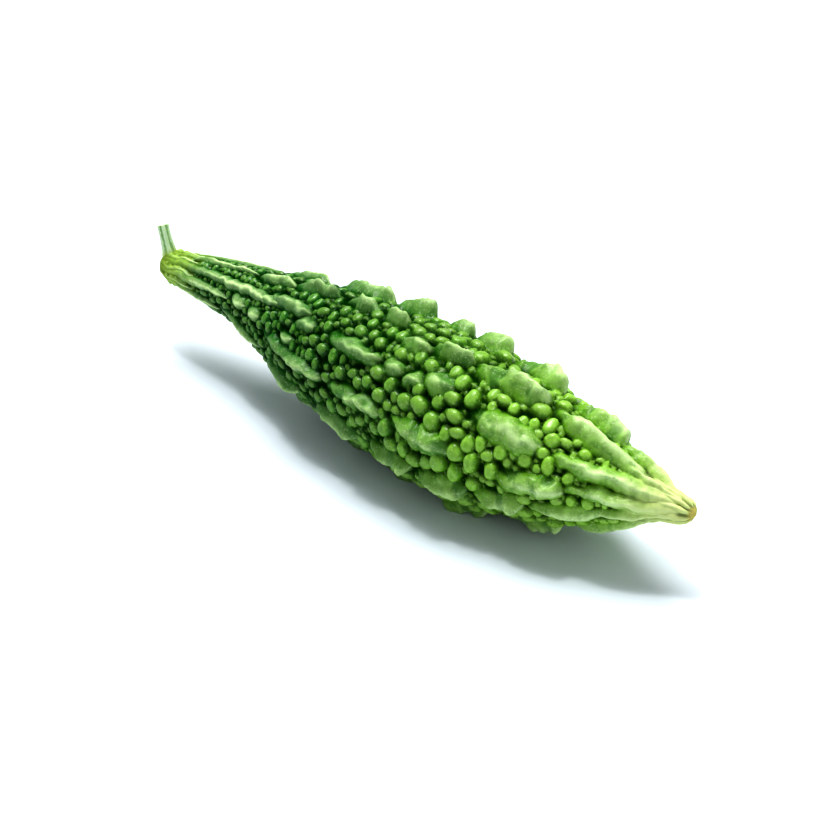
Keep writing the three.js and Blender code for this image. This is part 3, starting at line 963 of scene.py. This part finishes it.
@dataclass
class Stalk:
    """The ribbed stalk, swept from its root along a bent line to a square cut."""

    place: Vector
    seat: Vector = Vector((-104.4, 2.2, 31.0))
    outward: Vector = Vector((-0.3, 0.0, 1.0))
    bend: Vector = Vector((-0.9, -0.3, 4.4))
    end: Vector = Vector((-2.9, 0.2, 9.2))
    gap: float = 0.3
    radius: float = 1.7
    flare: float = 0.8
    flare_power: float = 4.0
    ribs: int = 5
    rib_depth: float = 0.26
    strands: int = 17
    strand_depth: float = 0.07
    strand_twist: float = 3.0
    strand_waves: float = 2.2
    uneven_depth: float = 0.06
    uneven_waves: float = 9.0
    sunk: float = 0.9
    steps: int = 70
    sides: int = 90
    root_rings: int = 4
    cut_rings: int = 6
    cut_dip: float = 0.25
    cut_crown: float = 0.12

    def build(self, material: bpy.types.Material) -> bpy.types.Object:
        """Builds the stalk.

        Args:
            material: Its finish.

        Returns:
            The finished object.
        """
        out = self.outward.normalized()
        foot = self.seat + out * self.gap
        controls = [foot, foot + self.bend, foot + self.end]
        rows: list[tuple[Vector, float, float]] = []
        side = Vector((0.0, 1.0, 0.0))
        ways = [2 * math.pi * j / self.sides for j in range(self.sides)]
        beside_of = [(j, (j + 1) % self.sides) for j in range(self.sides)]
        for i in range(-self.root_rings, self.steps + 1):
            share = i / self.steps
            middle, heading = self.line(controls, max(share, 0.0))
            if i < 0:
                middle = middle + out * self.sunk * share * self.steps / self.root_rings
            across = heading.cross(side).normalized()
            beside = across.cross(heading).normalized()
            swell = self.flare * (1 - max(share, 0.0)) ** self.flare_power
            for way in ways:
                radius = self.radius + swell + self.groove(way, share)
                point = middle + across * radius * math.cos(way)
                rows.append((point + beside * radius * math.sin(way), share, way))
        faces = []
        for start in range(0, len(rows) - self.sides, self.sides):
            above = start + self.sides
            faces += [(start + a, above + a, above + b, start + b) for a, b in beside_of]
        middle, heading = self.line(controls, 1.0)
        start = len(rows) - self.sides
        rim = [point for point, _, _ in rows[start:]]
        for ring in range(1, self.cut_rings + 1):
            inward = ring / (self.cut_rings + 1)
            dip = self.cut_dip * math.sin(math.pi * inward) - self.cut_crown * inward
            rows += [
                (edge.lerp(middle, inward) - heading * dip, 1.0 + inward, way)
                for edge, way in zip(rim, ways)
            ]
            above = start + self.sides
            faces += [(start + a, above + a, above + b, start + b) for a, b in beside_of]
            start = above
        cut_middle, root_middle = len(rows), len(rows) + 1
        rows.append((middle + heading * self.cut_crown, 2.0, 0.0))
        rows.append((self.line(controls, 0.0)[0] - out * self.sunk, -0.1, 0.0))
        faces += [(start + b, start + a, cut_middle) for a, b in beside_of]
        faces += [(a, b, root_middle) for a, b in beside_of]
        mesh = bpy.data.meshes.new("gourd_stalk")
        mesh.from_pydata([(point + self.place) * MM for point, _, _ in rows], [], faces)
        attach(mesh, "share", np.array([share for _, share, _ in rows]))
        attach(mesh, "way", np.array([way for _, _, way in rows]))
        mesh.materials.append(material)
        mesh.shade_smooth()
        LOG.info("stalk: %d faces", len(faces))
        return placed("gourd_stalk", mesh)

    def groove(self, way: float, share: float) -> float:
        """How far the ribs and their finer strands stand out.

        Args:
            way: The angle round the stalk in radians.
            share: How far along the stalk, as a share of its length.

        Returns:
            What they add to the radius, in millimetres.
        """
        ribs = self.rib_depth * math.cos(self.ribs * way)
        twist = self.strand_twist * math.sin(self.strand_waves * share)
        strands = self.strand_depth * math.cos(self.strands * way + twist)
        uneven = self.uneven_depth * math.sin(self.uneven_waves * share + 2 * way)
        return ribs + strands + uneven

    @staticmethod
    def line(controls: list[Vector], share: float) -> tuple[Vector, Vector]:
        """The middle line's point and direction at a share of its length.

        Args:
            controls: The line's start, its bend and its end.
            share: The share, from 0 to 1.

        Returns:
            The point, and the direction as a vector of length 1.
        """
        a, b, c = controls
        point = a * (1 - share) ** 2 + b * 2 * share * (1 - share) + c * share ** 2
        heading = (b - a) * (1 - share) + (c - b) * share
        return point, heading.normalized()


@dataclass(frozen=True)
class RindFinish:
    """The fruit's waxy rind: painted shade in the valleys, green pearls with a painted highlight on top,
    and pale mottled crests whose tops are partly painted highlight.
    """

    # The darkest green is painted shade for the valleys. The light pearl green is a painted highlight on
    # the pearls' tops. The pale green is the crests' paler tops, partly their own colour and partly painted
    # highlight.
    valley_painted_shade: str = "022c00"
    stem_flesh: str = "20661a"
    tip_flesh: str = "7aae2c"
    pearl_painted_highlight: str = "acd968"
    pale_ridge_and_highlight: str = "c6e2a0"
    neck: str = "b2d05c"
    tip: str = "d4dd98"
    scar: str = "dccb6e"
    speck: str = "e2f3c4"
    ripe_grain: float = 14.0
    blot_grain: float = 3.4
    mottle_grain: float = 2.4
    vein_grain: float = 1.1
    speck_grain: float = 0.7
    ripening: tuple[float, float] = (-35.0, 95.0)
    ripe_patches: float = 50.0
    neck_paling: tuple[float, float] = (-80.0, -20.0)
    tip_paling: tuple[float, float] = (20.0, 80.0)
    neck_ends: tuple[float, float] = (-107.0, -82.0)
    tip_starts: tuple[float, float] = (84.0, 105.0)
    scar_starts: tuple[float, float] = (105.8, 107.3)
    valley_shade_depth: tuple[float, float] = (0.12, 1.05)
    bump_height: float = 0.5 * MM

    def material(self) -> bpy.types.Material:
        """Makes the material from the rind's own attributes.

        Returns:
            The material.
        """
        material, bench = bare_material("gourd_rind")
        place = bench.node("ShaderNodeTexCoord").outputs["Object"]
        relief, swell, ridge, tone, station = map(
            bench.read, ("relief", "swell", "ridge", "tone", "station"),
        )
        broad = bench.blotches(place, self.ripe_grain, 3.0)
        mottle = bench.blotches(place, self.mottle_grain, 4.0)
        veins = bench.blotches(place, self.vein_grain, 3.0)
        grain = bench.blotches(place, self.speck_grain, 3.0)

        # Flesh: greener towards the stem and riper towards the tip, each pearl in its own tone
        ripeness = (station + (broad - 0.5) * self.ripe_patches).ramp(*self.ripening)
        flesh = bench.tint(ripeness, srgb(self.stem_flesh), srgb(self.tip_flesh))
        light = (0.66 + 0.5 * tone) * (0.2 + 0.8 * mottle + 0.7 * veins)
        flesh = bench.tint(1.0, flesh, bench.joined(light, light, light), "MULTIPLY")

        # Crests: paler along their tops, partly the rind's own paler ridges and partly painted highlight;
        # painted shade in their pits and at their feet, with darker blots at random
        on_ridge = (ridge / relief.at_least(0.3)).ramp(0.75, 1.0)
        line = bench.read("crown") + (mottle - 0.5) * 0.3
        crown = on_ridge * (0.22 * line.ramp(0.2, 0.55) + 0.55 * line.ramp(0.6, 1.0))
        paling = 1.45 - 0.6 * station.ramp(*self.neck_paling) + 0.4 * station.ramp(*self.tip_paling)
        crown = crown * paling
        colour = bench.tint(crown, flesh, srgb(self.pale_ridge_and_highlight))
        # A darker green: painted shade in the crests' pits and at their feet, mixed with real darker blots
        # at random
        blots = bench.blotches(place, self.blot_grain, 3.0).ramp(0.54, 0.66)
        foot = 0.55 - 0.55 * line.ramp(0.05, 0.4)
        hollow_shade_and_blots = on_ridge * (bench.read("pit").ramp(0.2, 1.3) + 0.6 * blots + foot).at_most(1.0)
        colour = bench.tint(hollow_shade_and_blots * 0.55, colour, srgb(self.stem_flesh))

        # Pearls: a painted highlight on their tops, less of it in a dimpled centre, with fine specks over
        # all, and painted shade in the valleys between them
        painted_pearl_highlight = (swell + (veins - 0.5) * 0.6).ramp(0.55, 0.9)
        painted_pearl_highlight = painted_pearl_highlight * (1.0 - 0.6 * tone * swell.ramp(0.9, 1.0))
        colour = bench.tint(painted_pearl_highlight * (0.22 + 0.32 * ripeness), colour, srgb(self.pearl_painted_highlight))
        specks = grain.ramp(0.56, 0.7) * (0.3 + 0.5 * crown)
        colour = bench.tint(specks * 0.6, colour, srgb(self.speck))
        # Painted shade: the lower the relief, the more of the dark valley green, standing in for the shade
        # between pearls and crests
        full = (bench.read("rind_radius") * 0.085 + 0.4).at_most(2.0)
        deep = 1.0 - (relief / full + (mottle - 0.5) * 0.25).ramp(*self.valley_shade_depth)
        colour = bench.tint(deep * 0.96, colour, srgb(self.valley_painted_shade))

        # Ends: a yellowish neck and a pale tip, both held back in the valleys' painted shade, and the dry
        # blossom scar
        at_neck = 1.0 - (station + (mottle - 0.5) * 20.0).ramp(*self.neck_ends)
        colour = bench.tint(at_neck * (0.78 - 0.3 * deep), colour, srgb(self.neck))
        at_tip = (station + (mottle - 0.5) * 12.0).ramp(*self.tip_starts)
        colour = bench.tint(at_tip * (0.85 - 0.5 * deep), colour, srgb(self.tip))
        scarred = (station + (mottle - 0.5) * 1.5).ramp(*self.scar_starts)
        colour = bench.tint(scarred * 0.65, colour, srgb(self.scar))

        roughness = 0.34 + 0.2 * on_ridge + 0.3 * deep + 0.2 * (mottle - 0.5)
        height = grain * 0.35 + veins * 0.4 + mottle * 0.3 * full
        gloss = (0.55 - 0.55 * deep) * (1.0 - 0.6 * on_ridge)
        bump = {"Strength": 0.55, "Distance": self.bump_height, "Height": height}
        # The gloss comes from the waxy coat alone, so the valleys stay a deep green at the outline
        bench.surface(bump, {
            "Base Color": colour, "Roughness": roughness, "Specular IOR Level": 0.0,
            "Coat Weight": gloss, "Coat Roughness": 0.24, "Subsurface Weight": 0.1,
            "Subsurface Radius": (0.6, 1.0, 0.3), "Subsurface Scale": 1.5 * MM, "IOR": 1.42,
        })
        return material


@dataclass(frozen=True)
class StalkFinish:
    """The stalk's pale, finely furrowed skin and its moist cut."""

    skin: str = "cbe2b8"
    furrow: str = "84ae6c"
    cut: str = "dfe9b8"
    root: str = "b5cf62"
    ribs: int = 5
    mottle_grain: float = 1.2
    bump_height: float = 0.2 * MM

    def material(self) -> bpy.types.Material:
        """Makes the material.

        Returns:
            The material.
        """
        material, bench = bare_material("gourd_stalk")
        place = bench.node("ShaderNodeTexCoord").outputs["Object"]
        share, way = bench.read("share"), bench.read("way")
        mottle = bench.blotches(place, self.mottle_grain, 3.0)
        furrows = 0.5 - 0.5 * bench.maths("COSINE", way * float(self.ribs))
        furrowed = (furrows + (mottle - 0.5) * 0.8).ramp(0.45, 1.0)
        colour = bench.tint(furrowed, srgb(self.skin), srgb(self.furrow))
        colour = bench.tint((1.0 - share.ramp(0.0, 0.3)) * 0.6, colour, srgb(self.root))
        colour = bench.tint(share.ramp(1.02, 1.2), colour, srgb(self.cut))
        bump = {"Strength": 0.4, "Distance": self.bump_height, "Height": mottle}
        bench.surface(bump, {
            "Base Color": colour, "Roughness": 0.42 + 0.2 * mottle, "Subsurface Weight": 0.15,
            "Subsurface Radius": (0.6, 1.0, 0.4), "Subsurface Scale": 1.0 * MM,
        })
        return material


@dataclass
class Studio:
    """The pale floor, the soft lights and the camera."""

    aim: Vector = Vector((8.78, 0.0, 16.7))
    azimuth: float = 42.0
    elevation: float = 30.42
    distance: float = 600.0
    focal: float = 87.74
    floor_half: float = 3000.0
    floor_colour: str = "dae2ea"
    floor_roughness: float = 0.55
    sky_colour: str = "fbfdff"
    sky_strength: float = 0.36
    lamps: Sequence[tuple[str, tuple[float, float, float], float, float]] = (
        ("key", (-800, 800, 2800), 2000, 84.0),
        ("fill", (2000, -1200, 1500), 1400, 5.0),
        ("glint", (-500, 150, 2400), 260, 15.0),
    )

    def set_up(self) -> None:
        """Makes the floor, the lights and the camera."""
        self.floor()
        for name, place, size, power in self.lamps:
            self.light(name, Vector(place), size, power)
        scene = bpy.context.scene
        scene.world = bpy.data.worlds.new("studio")
        scene.world.use_nodes = True
        sky = scene.world.node_tree.nodes["Background"].inputs
        sky["Color"].default_value = srgb(self.sky_colour)
        sky["Strength"].default_value = self.sky_strength
        scene.view_settings.view_transform = "Standard"
        scene.view_settings.look = "High Contrast"
        self.camera()

    def floor(self) -> None:
        """Lays the floor, at the height that the fruit lies on."""
        half = self.floor_half * MM
        mesh = bpy.data.meshes.new("floor")
        corners = [(-half, -half, 0), (half, -half, 0), (half, half, 0), (-half, half, 0)]
        mesh.from_pydata(corners, [], [(0, 1, 2, 3)])
        material = bpy.data.materials.new("floor")
        material.use_nodes = True
        shader = material.node_tree.nodes["Principled BSDF"]
        shader.inputs["Base Color"].default_value = srgb(self.floor_colour)
        shader.inputs["Roughness"].default_value = self.floor_roughness
        mesh.materials.append(material)
        placed("floor", mesh)

    def light(self, name: str, place: Vector, size: float, power: float) -> None:
        """Hangs a square soft light that points at the fruit.

        Args:
            name: Its name.
            place: Where it hangs, in millimetres.
            size: Its side in millimetres.
            power: Its power in watts.
        """
        lamp = bpy.data.lights.new(name, "AREA")
        lamp.size = size * MM
        lamp.energy = power
        holder = placed(name, lamp)
        holder.location = place * MM
        holder.rotation_euler = (place - self.aim).to_track_quat("Z", "Y").to_euler()

    def camera(self) -> None:
        """Sets the camera at the photograph's viewing angle."""
        turn, tilt = math.radians(self.azimuth), math.radians(self.elevation)
        level = math.cos(tilt)
        back = Vector((math.sin(turn) * level, -math.cos(turn) * level, math.sin(tilt)))
        lens = bpy.data.cameras.new("camera")
        lens.lens = self.focal
        lens.sensor_width = 36.0
        lens.clip_end = 20.0
        camera = placed("camera", lens)
        camera.location = (self.aim + back * self.distance) * MM
        camera.rotation_euler = back.to_track_quat("Z", "Y").to_euler()
        bpy.context.scene.camera = camera


def main() -> None:
    """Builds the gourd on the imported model's frame and sets the studio round it."""
    logging.basicConfig(level=logging.INFO, format="%(message)s")
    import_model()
    low, high = (Vector(corner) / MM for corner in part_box("fruit"))
    form = RindForm()
    # Station 0 is at mid-length of the fruit, and the frame's origin under the whole gourd's middle
    place = Vector(((low.x + high.x) / 2, form.frame_y, 0.0))
    fruit = Fruit(form, place).build(RindFinish().material())
    stalk = Stalk(place).build(StalkFinish().material())
    for piece, node, slot in ((fruit, "fruit", "rind"), (stalk, "stalk", "stalk")):
        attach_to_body(piece, "root")
        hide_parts(node)
        LOG.info("%s: %d points", piece.name, len(piece.data.vertices))
    Studio().set_up()


if __name__ == "__main__":
    main()
